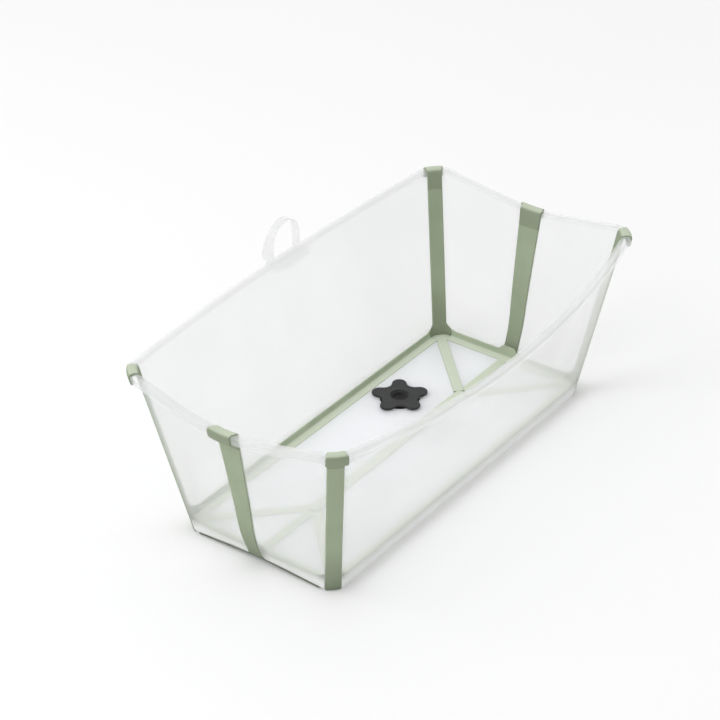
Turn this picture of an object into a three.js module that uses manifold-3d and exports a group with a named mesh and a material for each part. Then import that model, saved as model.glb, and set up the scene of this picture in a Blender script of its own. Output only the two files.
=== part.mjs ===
// A folding baby bathtub: stiff frosted panels joined by flexible strips, with a rolled rim,
// a drain plug in the floor and a closing strap behind the back wall.
// Millimetres, +Z up, +X along the tub, +Y towards its back wall. The origin is on the ground,
// below the middle of the tub's overall box.
import * as THREE from "three";
import { LoftGeometry } from "three/addons/geometries/LoftGeometry.js";
import { mergeVertices } from "three/addons/utils/BufferGeometryUtils.js";
import Module from "manifold-3d";

// ---- driving dimensions ----
const HEIGHT = 240; // rim crest above the ground, at the corners
const BASE_LENGTH = 548; // outer faces of the end walls, at the ground
const BASE_WIDTH = 232; // outer faces of the long walls, at the ground
const RIM_LENGTH = 634; // the same two sizes at rim height
const RIM_WIDTH = 316;
const BASE_CORNER_RADIUS = 20; // upright corners, at the ground and at the rim
const RIM_CORNER_RADIUS = 24;
const GAP = 0.3; // play left between neighbouring pieces

const PANEL = 3; // thickness of the stiff panels
const STRIP = 3.8; // thickness of the flexible strips
const PROUD = 0.4; // how far a strip stands out of the panels beside it

const SIDE_BULGE = 30; // long rims bow outwards at mid-length
const SIDE_DIP = 16; // and dip there
const SIDE_BULGE_POWER = 1.25;
const END_BULGE = 10.5; // end walls bow outwards at their middle fold
const END_DIP = 21;
const END_KINK = 30; // height over which the end wall takes on its bow
const KNEE_HEIGHT = 45; // the bow is strongest low on the wall
const KNEE_SPREAD = 35;
const KNEE_PUSH = 0.25; // by this share more than elsewhere
const RIM_EASE = 0.35; // and by this share less at the rim

const ROLL_RADIUS = 6.5; // half the outside width of the turned-over rim
const ROLL_DROP = 12.5; // how far the rim's skirt hangs below the crest
const ROLL_SQUARE = 0.5; // 1 gives a round rim, and smaller values a squarer one
const ROLL_STEPS = 10;
const RINGS = [24, 40, 62, 95, 150, 212]; // heights where the walls are given a ring of vertices
const CAP_EXTRA = 1.2; // a cap's skin over the roll
const FOOT_WIDTH = 6; // thickened foot of the long walls
const FOOT_HEIGHT = 3;

const FLOOR_BOTTOM = 9; // the floor hangs clear of the ground
const FLOOR_THICK = 3;
const SIDE_STRIP_WIDTH = 12; // floor strips, measured on the floor
const END_STRIP_WIDTH = 12;
const DIAGONAL_HALF = 7;
const RIDGE_HALF = 8;
const CENTRE_HALF = 6;
const LEG_TOP = 20; // floor strips climb the walls to this height
const END_EDGE_CORNER = 3; // lower edge of the end panels, at the corner
const END_EDGE_MIDDLE = 9; // and at the middle fold
const APEX_HUB = 8; // round joint where four floor strips meet

const CORNER_HALF_BASE = 32; // half the angle, in degrees, that a corner strip covers
const CORNER_HALF_RIM = 27;
const MID_HALF_BASE = 9.5; // half width of the end walls' middle strip
const MID_HALF_RIM = 16.5;
const CAP_TONGUE = 7; // the middle cap is this much wider than its strip, towards the back

const DRAIN_X = 104; // drain centre
const DRAIN_Y = 60;
const DRAIN_HOLE = 20;
const SEAT_OUTER = 27;
const PETALS = 5;
const PETAL_RADIUS = 10;
const PETAL_ORBIT = 28.5;
const PLUG_CORE = 23;
const PLUG_TURN = 37; // degrees from +X to the first petal
const PLUG_DISH = 12.4; // radius and depth of the hollow
const PLUG_DEPTH = 3;

const STRAP_X = 44; // middle of the closing strap's arch
const STRAP_WIDTH = 12;
const STRAP_THICK = 2.2;
const ARCH_RADIUS = 28;
const ARCH_LEG = 25;
const LEDGE_HEIGHT = 6;

// ---- materials ----
function plastic(color, roughness) {
  return new THREE.MeshStandardMaterial({ color, roughness, metalness: 0 });
}
const frosted = () => plastic(0xe9edec, 0.35);
const sage = () => plastic(0x8e9b82, 0.7);
const charcoal = () => plastic(0x4a4a4a, 0.6);
const clear = () => plastic(0xdbdbdb, 0.3);

// ---- joining and cutting ----
const wasm = await Module();
wasm.setup();

// Only the positions, with shared vertices merged.
function bare(geometry) {
  const plain = new THREE.BufferGeometry();
  plain.setAttribute("position", geometry.attributes.position.clone());
  if (geometry.index) plain.setIndex(geometry.index.clone());
  return mergeVertices(plain, 1e-4);
}

function solid(geometry) {
  const merged = bare(geometry);
  return new wasm.Manifold(
    new wasm.Mesh({
      numProp: 3,
      vertProperties: merged.attributes.position.array,
      triVerts: new Uint32Array(merged.index.array),
    }),
  );
}

function geometryOf(manifold) {
  const mesh = manifold.getMesh();
  const geometry = new THREE.BufferGeometry();
  geometry.setAttribute("position", new THREE.BufferAttribute(mesh.vertProperties, 3));
  geometry.setIndex(new THREE.BufferAttribute(mesh.triVerts, 1));
  return geometry;
}

// ---- the tub's form ----
const mix = (a, b, t) => a + (b - a) * t;
const clamp01 = (t) => Math.min(1, Math.max(0, t));
const smooth = (t) => clamp01(t) ** 2 * (3 - 2 * clamp01(t));
const lengthAt = (z) => mix(BASE_LENGTH, RIM_LENGTH, z / HEIGHT);
const widthAt = (z) => mix(BASE_WIDTH, RIM_WIDTH, z / HEIGHT);
const radiusAt = (z) => mix(BASE_CORNER_RADIUS, RIM_CORNER_RADIUS, z / HEIGHT);
const cornerX = (z) => lengthAt(z) / 2 - radiusAt(z);
const cornerY = (z) => widthAt(z) / 2 - radiusAt(z);
const spread = (count, make) => Array.from({ length: count + 1 }, (_, i) => make(i / count));
const midHalf = (z) => mix(MID_HALF_BASE, MID_HALF_RIM, z / HEIGHT);

// Every station maps a point of an upright wall section, out from the wall's outer face and up,
// into space. The back long wall: share -1..1 runs from its left end to its right end.
function sideStation(share) {
  const bow = 1 - share ** 2;
  return (out, up) => {
    const x = share * (cornerX(up) - GAP);
    const bulge = SIDE_BULGE * Math.max(0, up / HEIGHT) ** SIDE_BULGE_POWER * bow;
    const z = up * (1 - (SIDE_DIP / HEIGHT) * bow);
    return new THREE.Vector3(x, widthAt(up) / 2 + bulge + out, z);
  };
}

// The right end wall at a distance y from its middle fold.
function endPoint(y, out, up) {
  const bow = 1 - Math.abs(y / cornerY(up)) ** 1.5;
  const rise = 1 - Math.exp(-Math.max(0, up - 8) / END_KINK);
  const knee = KNEE_PUSH * Math.exp(-(((up - KNEE_HEIGHT) / KNEE_SPREAD) ** 2));
  const shape = rise * (1 + knee - RIM_EASE * smooth(up / HEIGHT));
  const x = lengthAt(up) / 2 + END_BULGE * shape * bow + out;
  return new THREE.Vector3(x, y, up * (1 - (END_DIP / HEIGHT) * bow * smooth(up / HEIGHT)));
}

// A band of the end wall: share 0..1 runs from one edge to the other.
function endStation(share, near, far) {
  return (out, up) => endPoint(mix(near(up, out), far(up, out), share), out, up);
}

// The right back corner, turned from the end wall (0) round to the long wall (1).
// The share may change with height.
function cornerStation(share) {
  return (out, up) => {
    const turn = (share(up) * Math.PI) / 2;
    const reach = radiusAt(up) + out;
    const x = cornerX(up) + reach * Math.cos(turn);
    return new THREE.Vector3(x, cornerY(up) + reach * Math.sin(turn), up);
  };
}

// The same on the left, for a back wall that runs round both of its corners.
function leftCornerStation(share) {
  const right = cornerStation(share);
  return (out, up) => {
    const point = right(out, up);
    point.x = -point.x;
    return point;
  };
}

// Where the corner strip starts, as a share of the corner's quarter turn. A gap in millimetres
// moves the edge away from the strip.
function stripEdge(up, gap) {
  const half = mix(CORNER_HALF_BASE, CORNER_HALF_RIM, up / HEIGHT);
  return 0.5 - half / 90 - gap / (radiusAt(up) * (Math.PI / 2));
}

// An upright section as a ribbon: pairs of points on the tub's inside and outside, from the
// lower edge up over the rolled rim. Every point is [out, up].
function wallRibbon({ bottom, thick, proud, cap, drop, foot }) {
  const inside = proud - thick;
  const pairs = [];
  if (foot) {
    pairs.push([[-FOOT_WIDTH, bottom], [proud, bottom]]);
    pairs.push([[-FOOT_WIDTH, FOOT_HEIGHT], [proud, FOOT_HEIGHT]]);
    pairs.push([[inside, FOOT_HEIGHT + 2], [proud, FOOT_HEIGHT + 2]]);
  } else {
    pairs.push([[inside, bottom], [proud, bottom]]);
  }
  RINGS.forEach((up) => pairs.push([[inside, up], [proud, up]]));
  const centre = ROLL_RADIUS - PANEL;
  const centreUp = HEIGHT - ROLL_RADIUS;
  pairs.push([[inside, centreUp - 5], [proud, centreUp - 5]]);
  const inner = centre - proud;
  const outer = ROLL_RADIUS + cap;
  const squared = (t) => Math.sign(t) * Math.abs(t) ** ROLL_SQUARE;
  const onRoll = (radius, a) => [
    centre + radius * squared(Math.cos(a)),
    centreUp + radius * squared(Math.sin(a)),
  ];
  spread(ROLL_STEPS, (t) => Math.PI * (1 - t)).forEach((a) => {
    pairs.push([onRoll(outer, a), onRoll(inner, a)]);
  });
  pairs.push([[centre + outer, HEIGHT - drop], [centre + inner, HEIGHT - drop]]);
  return pairs;
}

// A bent plate: a box whose long way follows the ribbon and whose depth follows the stations.
function shell(stations, ribbonAt) {
  const ribbons = stations.map((_, i) => ribbonAt(i / (stations.length - 1)));
  const along = ribbons[0].length - 1;
  const across = stations.length - 1;
  const box = bare(new THREE.BoxGeometry(along, 1, across, along, 1, across));
  const position = box.attributes.position;
  for (let i = 0; i < position.count; i++) {
    const step = Math.round(position.getX(i) + along / 2);
    const face = position.getY(i) > 0 ? 0 : 1;
    const which = Math.round(position.getZ(i) + across / 2);
    const [out, up] = ribbons[which][step][face];
    const point = stations[which](out, up);
    position.setXYZ(i, point.x, point.y, point.z);
  }
  return outward(box);
}

// Skins a run of outlines, one at each station.
function loft(stations, outlineAt) {
  const sections = stations.map((station, i) =>
    outlineAt(i / (stations.length - 1)).map(([out, up]) => station(out, up)),
  );
  return outward(bare(new LoftGeometry(sections, { capStart: true, capEnd: true })));
}

// Turns the faces round when they point into the body.
function outward(geometry) {
  const index = geometry.index;
  const position = geometry.attributes.position;
  const [a, b, c] = [new THREE.Vector3(), new THREE.Vector3(), new THREE.Vector3()];
  let volume = 0;
  for (let i = 0; i < index.count; i += 3) {
    a.fromBufferAttribute(position, index.getX(i));
    b.fromBufferAttribute(position, index.getX(i + 1));
    c.fromBufferAttribute(position, index.getX(i + 2));
    volume += a.dot(b.cross(c));
  }
  if (volume < 0) {
    for (let i = 0; i < index.count; i += 3) {
      const keep = index.getX(i);
      index.setX(i, index.getX(i + 1));
      index.setX(i + 1, keep);
    }
  }
  return geometry;
}

// The same piece on the other side of the tub: mirrored in x, in y or in both.
function mirrored(geometry, left, front) {
  const copy = bare(geometry);
  copy.scale(left ? -1 : 1, front ? -1 : 1, 1);
  return outward(copy);
}

// ---- upright pieces ----
const panelRibbon = (bottom, foot) =>
  wallRibbon({ bottom, thick: PANEL, proud: 0, cap: 0, drop: ROLL_DROP, foot });
const stripRibbon = (bottom) =>
  wallRibbon({
    bottom,
    thick: STRIP,
    proud: PROUD,
    cap: CAP_EXTRA,
    drop: ROLL_DROP + 2,
    foot: false,
  });

function sidePanel() {
  const toStrip = (t) => (up) => 1 - t * stripEdge(up, GAP);
  const stations = [
    ...spread(2, (t) => leftCornerStation(toStrip(1 - t))),
    ...spread(14, (t) => sideStation(0.996 * (2 * t - 1))),
    ...spread(2, (t) => cornerStation(toStrip(t))),
  ];
  return shell(stations, () => panelRibbon(0, true));
}

// The middle strip's edge, out from the fold. On the back half the cap on the rim is wider.
function midEdge(isFront) {
  return (up, out) => midHalf(up) + (isFront ? 0 : CAP_TONGUE * smooth((out - 1.5) / 5));
}

function endPanel(isFront) {
  const edge = midEdge(isFront);
  const start = (up, out) => edge(up, out) + GAP;
  const stop = (up) => cornerY(up) - GAP;
  const stations = [
    ...spread(5, (t) => endStation(t, start, stop)),
    ...spread(2, (t) => cornerStation((up) => t * stripEdge(up, GAP))),
  ];
  return shell(stations, (t) =>
    panelRibbon(mix(END_EDGE_MIDDLE, END_EDGE_CORNER, Math.min(1, t * 1.6)), false),
  );
}

function cornerStrip() {
  const turn = (t) => (up) => mix(stripEdge(up, 0), 1 - stripEdge(up, 0), t);
  const stations = spread(6, (t) => cornerStation(turn(t)));
  return shell(stations, () => stripRibbon(0.6));
}

function endMidStrip(isFront) {
  const near = () => GAP / 2;
  const stations = spread(4, (t) => endStation(t, near, midEdge(isFront)));
  return shell(stations, () => stripRibbon(LEG_TOP + 1));
}

// ---- floor ----
const FLOOR_TOP = FLOOR_BOTTOM + FLOOR_THICK;
const FLOOR_MID = (FLOOR_BOTTOM + FLOOR_TOP) / 2;
const STRIP_BOTTOM = FLOOR_MID - STRIP / 2;
const INNER_X = lengthAt(FLOOR_BOTTOM) / 2 - PANEL - GAP;
const INNER_Y = widthAt(FLOOR_BOTTOM) / 2 - PANEL - GAP;
const STRIP_X = INNER_X - END_STRIP_WIDTH;
const STRIP_Y = INNER_Y - SIDE_STRIP_WIDTH;
const PATCH_X = cornerX(FLOOR_MID) - 5; // side strips stop here, and the corner patch begins
const PATCH_Y = cornerY(FLOOR_MID) - 5;
const APEX_X = (BASE_LENGTH - BASE_WIDTH) / 2; // the four fold lines of an end meet here

// A closed outline with its corners rounded; each corner is [x, y, radius].
function roundedOutline(corners) {
  const shape = new THREE.Shape();
  corners.forEach(([x, y, radius], i) => {
    const here = new THREE.Vector2(x, y);
    const before = new THREE.Vector2(...corners.at(i - 1).slice(0, 2));
    const after = new THREE.Vector2(...corners[(i + 1) % corners.length].slice(0, 2));
    const toBefore = before.clone().sub(here).normalize();
    const toAfter = after.clone().sub(here).normalize();
    const half = Math.acos(toBefore.dot(toAfter)) / 2;
    const cut = radius / Math.tan(half);
    const from = here.clone().addScaledVector(toBefore, cut);
    const to = here.clone().addScaledVector(toAfter, cut);
    if (i === 0) shape.moveTo(from.x, from.y);
    else shape.lineTo(from.x, from.y);
    if (radius > 0) shape.quadraticCurveTo(here.x, here.y, to.x, to.y);
  });
  shape.closePath();
  return shape;
}

function plate(shape, bottom, thick, curveSegments = 5) {
  const geometry = new THREE.ExtrudeGeometry(shape, {
    depth: thick,
    bevelEnabled: false,
    curveSegments,
  });
  geometry.translate(0, 0, bottom);
  return geometry;
}

function disc(radius, bottom, thick, segments = 28) {
  const geometry = new THREE.CylinderGeometry(radius, radius, thick, segments);
  geometry.rotateX(Math.PI / 2);
  geometry.translate(0, 0, bottom + thick / 2);
  return geometry;
}

function floorPanel(hasDrain) {
  const low = RIDGE_HALF + GAP;
  const high = STRIP_Y - GAP;
  const inset = (DIAGONAL_HALF + GAP) * Math.SQRT2;
  const lowX = APEX_X - inset + low;
  const highX = APEX_X - inset + high;
  const shape = roundedOutline([
    [-highX, high, 4],
    [-lowX, low, 12],
    [lowX, low, 12],
    [highX, high, 4],
  ]);
  if (!hasDrain) return plate(shape, FLOOR_BOTTOM, FLOOR_THICK);
  const body = solid(plate(shape, FLOOR_BOTTOM, FLOOR_THICK));
  const hole = disc(DRAIN_HOLE + GAP, 0, 20, 30);
  hole.translate(DRAIN_X, DRAIN_Y, 0);
  return geometryOf(body.subtract(solid(hole)));
}

function floorCornerPanel() {
  const low = CENTRE_HALF + GAP;
  const inset = (DIAGONAL_HALF + GAP) * Math.SQRT2;
  const right = STRIP_X - GAP;
  const shape = roundedOutline([
    [APEX_X + inset + low, low, 5],
    [right, low, 12],
    [right, right - APEX_X - inset, 5],
  ]);
  return plate(shape, FLOOR_BOTTOM, FLOOR_THICK);
}

// The diagonal strip ends in a patch that fills the floor's rounded corner.
function floorDiagonalStrip() {
  const side = DIAGONAL_HALF * Math.SQRT2;
  const from = (APEX_HUB + 2) / Math.SQRT2;
  const half = DIAGONAL_HALF / Math.SQRT2;
  const radius = radiusAt(FLOOR_MID) - STRIP - GAP;
  const x0 = cornerX(FLOOR_MID);
  const y0 = cornerY(FLOOR_MID);
  const upperY = STRIP_Y - GAP;
  const lowerX = STRIP_X - GAP;
  const shape = new THREE.Shape();
  shape.moveTo(APEX_X + from - half, from + half);
  shape.lineTo(APEX_X - side + upperY, upperY);
  shape.lineTo(PATCH_X + GAP, upperY);
  shape.lineTo(PATCH_X + GAP, y0 + radius);
  shape.lineTo(x0, y0 + radius);
  shape.absarc(x0, y0, radius, Math.PI / 2, 0, true);
  shape.lineTo(x0 + radius, PATCH_Y + GAP);
  shape.lineTo(lowerX, PATCH_Y + GAP);
  shape.lineTo(lowerX, lowerX - APEX_X - side);
  shape.lineTo(APEX_X + from + half, from - half);
  shape.closePath();
  return plate(shape, STRIP_BOTTOM, STRIP, 6);
}

function floorRidgeStrip() {
  const bar = new THREE.BoxGeometry(2 * APEX_X, 2 * RIDGE_HALF, STRIP);
  bar.translate(0, 0, STRIP_BOTTOM + STRIP / 2);
  let body = solid(bar);
  [-1, 1].forEach((side) => {
    const hub = disc(APEX_HUB, STRIP_BOTTOM, STRIP, 24);
    hub.translate(side * APEX_X, 0, 0);
    body = body.add(solid(hub));
  });
  return geometryOf(body);
}

// Half of the strip from the apex to the end wall: its other half is across the fold line.
function floorCentreStrip() {
  const from = APEX_X + DIAGONAL_HALF * Math.SQRT2 + 1.5 * GAP;
  const shape = new THREE.Shape();
  shape.moveTo(from + GAP / 2, GAP / 2);
  shape.lineTo(STRIP_X - GAP, GAP / 2);
  shape.lineTo(STRIP_X - GAP, CENTRE_HALF);
  shape.lineTo(from + CENTRE_HALF, CENTRE_HALF);
  shape.closePath();
  return plate(shape, STRIP_BOTTOM, STRIP);
}

// The strip along a long wall: flat on the floor, curved up, and climbing the wall.
function floorSideStrip() {
  const wallAt = (z) => widthAt(z) / 2 - PANEL - GAP;
  const top = STRIP_BOTTOM + STRIP;
  const shape = new THREE.Shape();
  shape.moveTo(STRIP_Y, STRIP_BOTTOM);
  shape.lineTo(wallAt(STRIP_BOTTOM), STRIP_BOTTOM);
  shape.lineTo(wallAt(LEG_TOP), LEG_TOP);
  shape.lineTo(wallAt(LEG_TOP) - 1.6, LEG_TOP);
  shape.quadraticCurveTo(wallAt(top) - 2.2, top, STRIP_Y, top);
  shape.closePath();
  const stations = [-1, 1].map((side) => (y, z) => new THREE.Vector3(side * PATCH_X, y, z));
  const outline = shape.getPoints(5).slice(0, -1);
  return loft(stations, () => outline.map((p) => [p.x, p.y]));
}

// The strip under an end wall: it hooks round the panel's lower edge and shows as a thin bead
// outside, and inside it climbs the wall as the side strip does.
function floorEndStrip() {
  const faceAt = (z) => lengthAt(z) / 2;
  const wallAt = (z) => faceAt(z) - PANEL - GAP;
  const top = STRIP_BOTTOM + STRIP;
  const along = (t) => mix(PATCH_Y, GAP / 2, t);
  const stations = spread(4, (t) => (x, z) => new THREE.Vector3(x, along(t), z));
  return loft(stations, (t) => {
    const share = along(t) / cornerY(0);
    const edge = mix(END_EDGE_MIDDLE, END_EDGE_CORNER, share) - GAP;
    const low = edge - 2.2;
    return [
      [STRIP_X, STRIP_BOTTOM],
      [wallAt(low) - 2.4, STRIP_BOTTOM],
      [wallAt(low) - 2.4, low],
      [faceAt(low) + PROUD, low],
      [faceAt(edge) + PROUD, edge],
      [wallAt(edge), edge],
      [wallAt(LEG_TOP), LEG_TOP],
      [wallAt(LEG_TOP) - 1.6, LEG_TOP],
      [wallAt(top) - 2, top + 1.4],
      [wallAt(top) - 4.5, top],
      [STRIP_X, top],
    ];
  });
}

// ---- drain ----
function drainSeat() {
  const flange = disc(SEAT_OUTER, FLOOR_TOP + GAP, 1.2, 30);
  const sleeve = disc(DRAIN_HOLE, FLOOR_BOTTOM - 2, FLOOR_THICK + 3, 30);
  const bore = disc(DRAIN_HOLE - 2.5, 0, 20, 30);
  const geometry = geometryOf(solid(flange).add(solid(sleeve)).subtract(solid(bore)));
  return geometry;
}

// A five-petal flower with a dished middle, on a stem that closes the drain.
// One petal points along the floor towards the back right corner.
function drainPlug() {
  const bottom = FLOOR_TOP + GAP + 1.2 + GAP;
  const thick = 3.6;
  let body = solid(disc(PLUG_CORE, bottom, thick, 30));
  for (let i = 0; i < PETALS; i++) {
    const angle = THREE.MathUtils.degToRad(PLUG_TURN) + (i * 2 * Math.PI) / PETALS;
    const petal = disc(PETAL_RADIUS, bottom, thick, 28);
    petal.translate(PETAL_ORBIT * Math.cos(angle), PETAL_ORBIT * Math.sin(angle), 0);
    body = body.add(solid(petal));
  }
  const bore = DRAIN_HOLE - 2.5;
  const stem = disc(bore - 0.6, FLOOR_BOTTOM - 1, bottom - FLOOR_BOTTOM + 1.5, 30);
  const ball = (PLUG_DISH ** 2 + PLUG_DEPTH ** 2) / (2 * PLUG_DEPTH);
  const dish = new THREE.SphereGeometry(ball, 36, 36);
  dish.rotateX(Math.PI / 2);
  dish.translate(0, 0, bottom + thick + ball - PLUG_DEPTH);
  return geometryOf(body.add(solid(stem)).subtract(solid(dish)));
}

// ---- closing strap ----
// A ledge tucked under the back rim carries the two feet of an arched band.
const strapWall = sideStation(STRAP_X / cornerX(HEIGHT));
const rimDrop = strapWall(2 * ROLL_RADIUS - PANEL, HEIGHT - ROLL_DROP);
const LEDGE_TOP = rimDrop.z - 2 * GAP;
const BAND_Y = strapWall(2 * ROLL_RADIUS - PANEL, HEIGHT - ROLL_RADIUS).y + 2;

function strapLedge() {
  const wall = strapWall(0, LEDGE_TOP * (HEIGHT / (HEIGHT - SIDE_DIP)));
  const depth = BAND_Y + STRAP_WIDTH - wall.y - 1;
  const ledge = new THREE.BoxGeometry(2 * ARCH_RADIUS + 8, depth, LEDGE_HEIGHT);
  ledge.translate(STRAP_X, BAND_Y + STRAP_WIDTH - depth / 2, LEDGE_TOP - LEDGE_HEIGHT / 2);
  return ledge;
}

function strapLoop() {
  const outer = ARCH_RADIUS;
  const inner = ARCH_RADIUS - STRAP_THICK;
  const shape = new THREE.Shape();
  shape.moveTo(-outer, 0);
  shape.lineTo(-inner, 0);
  shape.lineTo(-inner, ARCH_LEG);
  shape.absarc(0, ARCH_LEG, inner, Math.PI, 0, true);
  shape.lineTo(inner, 0);
  shape.lineTo(outer, 0);
  shape.lineTo(outer, ARCH_LEG);
  shape.absarc(0, ARCH_LEG, outer, 0, Math.PI, false);
  shape.closePath();
  const band = new THREE.ExtrudeGeometry(shape, {
    depth: STRAP_WIDTH,
    bevelEnabled: false,
    curveSegments: 14,
  });
  band.rotateX(Math.PI / 2);
  return band;
}

// ---- assembly ----
const tub = new THREE.Group();

function place(name, geometry, material, parent = tub) {
  geometry.computeVertexNormals();
  const mesh = new THREE.Mesh(geometry, material);
  mesh.name = name;
  parent.add(mesh);
  return mesh;
}

const back = sidePanel();
place("back_wall_panel", back, frosted());
place("front_wall_panel", mirrored(back, false, true), frosted());
const sideStrip = floorSideStrip();
place("floor_side_strip_back", sideStrip, sage());
place("floor_side_strip_front", mirrored(sideStrip, false, true), sage());
place("floor_panel_back", floorPanel(true), frosted());
place("floor_panel_front", mirrored(floorPanel(false), false, true), frosted());
place("floor_ridge_strip", floorRidgeStrip(), sage());

const corner = cornerStrip();
const cornerPanel = floorCornerPanel();
const diagonal = floorDiagonalStrip();
const centre = floorCentreStrip();
const endStrip = floorEndStrip();
["left", "right"].forEach((end) => {
  ["back", "front"].forEach((side) => {
    const isLeft = end === "left";
    const isFront = side === "front";
    const quarter = (geometry) => mirrored(geometry, isLeft, isFront);
    place(`end_panel_${end}_${side}`, quarter(endPanel(isFront)), frosted());
    place(`end_mid_strip_${end}_${side}`, quarter(endMidStrip(isFront)), sage());
    place(`corner_strip_${end}_${side}`, quarter(corner), sage());
    place(`floor_corner_panel_${end}_${side}`, quarter(cornerPanel), frosted());
    place(`floor_diagonal_strip_${end}_${side}`, quarter(diagonal), sage());
    place(`floor_centre_strip_${end}_${side}`, quarter(centre), sage());
    place(`floor_end_strip_${end}_${side}`, quarter(endStrip), sage());
  });
});

const drain = new THREE.Group();
drain.position.set(DRAIN_X, DRAIN_Y, 0);
tub.add(drain);
place("drain_seat", drainSeat(), charcoal(), drain);
place("drain_plug", drainPlug(), charcoal(), drain);

place("strap_ledge", strapLedge(), clear());
const strap = new THREE.Group();
strap.position.set(STRAP_X, BAND_Y + STRAP_WIDTH, LEDGE_TOP + GAP);
tub.add(strap);
place("strap_loop", strapLoop(), clear(), strap);

// The strap stands out behind, so the overall box's middle is a little behind the floor's.
const box = new THREE.Box3().setFromObject(tub);
tub.position.y = -(box.min.y + box.max.y) / 2;
const part = new THREE.Group();
part.add(tub);

export default part;
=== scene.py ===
"""The looks of the folding baby bathtub: frosted walls with a rolled rim, flexible fold strips,
a flower-shaped drain plug and a closing strap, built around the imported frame. Lengths in the
form code are millimetres from the tub's own middle; mesh_object turns them into metres."""

import math

import bmesh
import bpy
import numpy as np
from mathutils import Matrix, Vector


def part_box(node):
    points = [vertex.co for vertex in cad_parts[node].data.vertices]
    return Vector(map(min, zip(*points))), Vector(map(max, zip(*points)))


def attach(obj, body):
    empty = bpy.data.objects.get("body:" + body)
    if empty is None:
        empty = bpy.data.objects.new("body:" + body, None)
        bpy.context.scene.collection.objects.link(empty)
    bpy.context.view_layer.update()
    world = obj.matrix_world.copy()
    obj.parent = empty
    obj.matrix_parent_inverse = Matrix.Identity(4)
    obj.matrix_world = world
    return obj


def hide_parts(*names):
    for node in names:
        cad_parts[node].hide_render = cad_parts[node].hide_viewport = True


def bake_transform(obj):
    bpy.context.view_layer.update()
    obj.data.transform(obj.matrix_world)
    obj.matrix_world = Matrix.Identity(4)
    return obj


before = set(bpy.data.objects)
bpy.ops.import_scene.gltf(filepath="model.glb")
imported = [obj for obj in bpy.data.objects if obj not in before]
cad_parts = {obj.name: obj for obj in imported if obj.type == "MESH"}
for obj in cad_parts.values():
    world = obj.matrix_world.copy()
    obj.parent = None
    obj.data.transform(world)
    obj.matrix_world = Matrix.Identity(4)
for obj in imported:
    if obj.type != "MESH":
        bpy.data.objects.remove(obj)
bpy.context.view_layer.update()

# ---- the frame's own measures, in millimetres ----
ridge_low, ridge_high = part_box("floor_ridge_strip")
MIDDLE_Y = (ridge_low.y + ridge_high.y) / 2  # the tub's middle plane, in metres
ORIGIN = np.array([0.0, MIDDLE_Y, 0.0])


def box_mm(node):
    """A node's box in millimetres, measured from the tub's own middle."""
    low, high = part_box(node)
    return (np.array(low) - ORIGIN) * 1000, (np.array(high) - ORIGIN) * 1000


HEIGHT = box_mm("end_panel_right_back")[1][2]  # rim crest at the corners
FLOOR_LOW, FLOOR_HIGH = (b[2] for b in box_mm("floor_panel_back"))
FLOOR_MID = (FLOOR_LOW + FLOOR_HIGH) / 2
BASE_LENGTH, BASE_WIDTH = 548.0, 232.0
RIM_LENGTH, RIM_WIDTH = 634.0, 316.0
BASE_RADIUS, RIM_RADIUS = 20.0, 24.0
PANEL, STRIP, PROUD, GAP = 3.0, 3.8, 0.4, 0.12
SIDE_BULGE, SIDE_DIP, SIDE_POWER = 30.0, 16.0, 1.25
END_BULGE, END_DIP, END_KINK = 10.5, 21.0, 30.0
KNEE_HEIGHT, KNEE_SPREAD, KNEE_PUSH, RIM_EASE = 45.0, 35.0, 0.25, 0.35
ROLL, ROLL_DROP, ROLL_SQUARE = 6.5, 12.5, 0.55
CAP_FOOT, CAP_EXTRA, CAP_DROP = 212.0, 1.2, 1.6
CAP_TONGUE_BACK, CAP_TONGUE_FRONT = 4.5, -3.0
CORNER_HALF_BASE, CORNER_HALF_RIM = 32.0, 27.0  # half the degrees of a corner under its strip
CAP_NARROW, STRIP_FLAT = 2.6, 0.6  # degrees less on the rim, and how far the strip is flattened
MID_HALF_BASE, MID_HALF_RIM = 9.5, 16.5
LEG_TOP, LEG_RISE, LEG_REACH = 20.0, 9.0, 17.0
END_EDGE_CORNER, END_EDGE_MIDDLE = 3.0, 9.0
APEX_X = (BASE_LENGTH - BASE_WIDTH) / 2
DIAGONAL_HALF, CENTRE_HALF = 7.0, 6.0
RIDGE_HALF = (ridge_high.y - ridge_low.y) * 500
HUB = 8.0
END_STRIP = SIDE_STRIP = 12.0
STRIP_LOW = FLOOR_MID - STRIP / 2
STRIP_HIGH = FLOOR_MID + STRIP / 2


# ---- the tub's form ----
def mix(a, b, t):
    return a + (b - a) * t


def smooth(t):
    t = np.clip(t, 0, 1)
    return t * t * (3 - 2 * t)


def length_at(z):
    return mix(BASE_LENGTH, RIM_LENGTH, z / HEIGHT)


def width_at(z):
    return mix(BASE_WIDTH, RIM_WIDTH, z / HEIGHT)


def radius_at(z):
    return mix(BASE_RADIUS, RIM_RADIUS, z / HEIGHT)


def corner_x(z):
    return length_at(z) / 2 - radius_at(z)


def corner_y(z):
    return width_at(z) / 2 - radius_at(z)


def mid_half(z):
    return mix(MID_HALF_BASE, MID_HALF_RIM, z / HEIGHT)


def strip_edge(z, gap=0.0, out=0.0):
    """Where the corner strip starts, as a share of the corner's quarter turn."""
    half = mix(CORNER_HALF_BASE, CORNER_HALF_RIM, z / HEIGHT) - CAP_NARROW * smooth(out / 4)
    return 0.5 - half / 90 - gap / (radius_at(z) * math.pi / 2)


def side_point(share, out, up):
    """The back long wall: share -1..1 runs from its left end to its right end."""
    bow = 1 - share**2
    bulge = SIDE_BULGE * np.clip(up / HEIGHT, 0, None) ** SIDE_POWER * bow
    y = width_at(up) / 2 + bulge + out
    return np.stack([share * (corner_x(up) - GAP), y, up * (1 - SIDE_DIP / HEIGHT * bow)], -1)


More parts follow.
